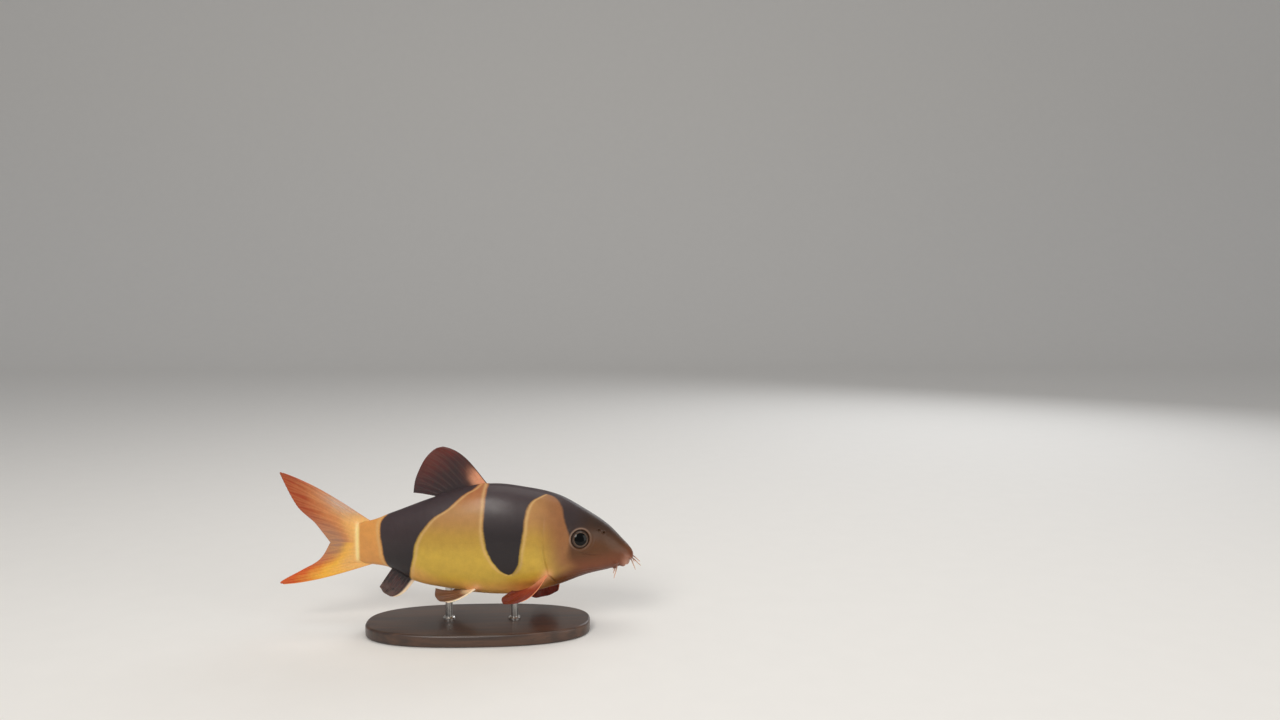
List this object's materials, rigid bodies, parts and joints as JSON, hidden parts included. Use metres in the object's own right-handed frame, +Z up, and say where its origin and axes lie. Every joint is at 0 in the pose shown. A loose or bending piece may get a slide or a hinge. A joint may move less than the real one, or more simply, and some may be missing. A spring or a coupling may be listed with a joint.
{
  "type": "clown loach display model",
  "caption": "Life-size fish model: deep laterally flattened body, downturned snout with barbels, forked tail, on a low oval stand.",
  "frame": {"origin": "centre of the underside of the stand's base, which is also the lowest plane of the model", "axes": "+X towards the fish's snout, +Y towards the fish's left side, +Z up; the fish's right side faces -Y"},
  "size_m": [0.184, 0.05, 0.0935],
  "materials": {
    "skin": "amber fish skin with three dark bands, satin wet look",
    "eye": "black pupil with a narrow pale iris, glossy",
    "barbel": "pale pinkish flesh",
    "dark_fin": "blackish brown membrane with fine rays",
    "orange_fin": "orange membrane with fine rays",
    "red_fin": "deep red membrane with fine rays",
    "stand_base": "dark satin wood",
    "stand_rod": "brushed"
  },
  "bodies": {
    "root": {"head": "skin", "trunk": "skin", "tail": "skin", "eye_right": "eye", "eye_left": "eye", "barbel_rostral_inner_right": "barbel", "barbel_rostral_inner_left": "barbel", "barbel_rostral_outer_right": "barbel", "barbel_rostral_outer_left": "barbel", "barbel_maxillary_right": "barbel", "barbel_maxillary_left": "barbel", "barbel_mandibular_right": "barbel", "barbel_mandibular_left": "barbel", "dorsal_fin": "dark_fin", "anal_fin": "dark_fin", "caudal_fin_upper": "orange_fin", "caudal_fin_lower": "orange_fin", "pectoral_fin_right": "red_fin", "pectoral_fin_left": "red_fin", "pelvic_fin_right": "orange_fin", "pelvic_fin_left": "orange_fin", "stand_base": "stand_base", "stand_rod_front": "stand_rod", "stand_rod_rear": "stand_rod"}
  },
  "joints": []
}
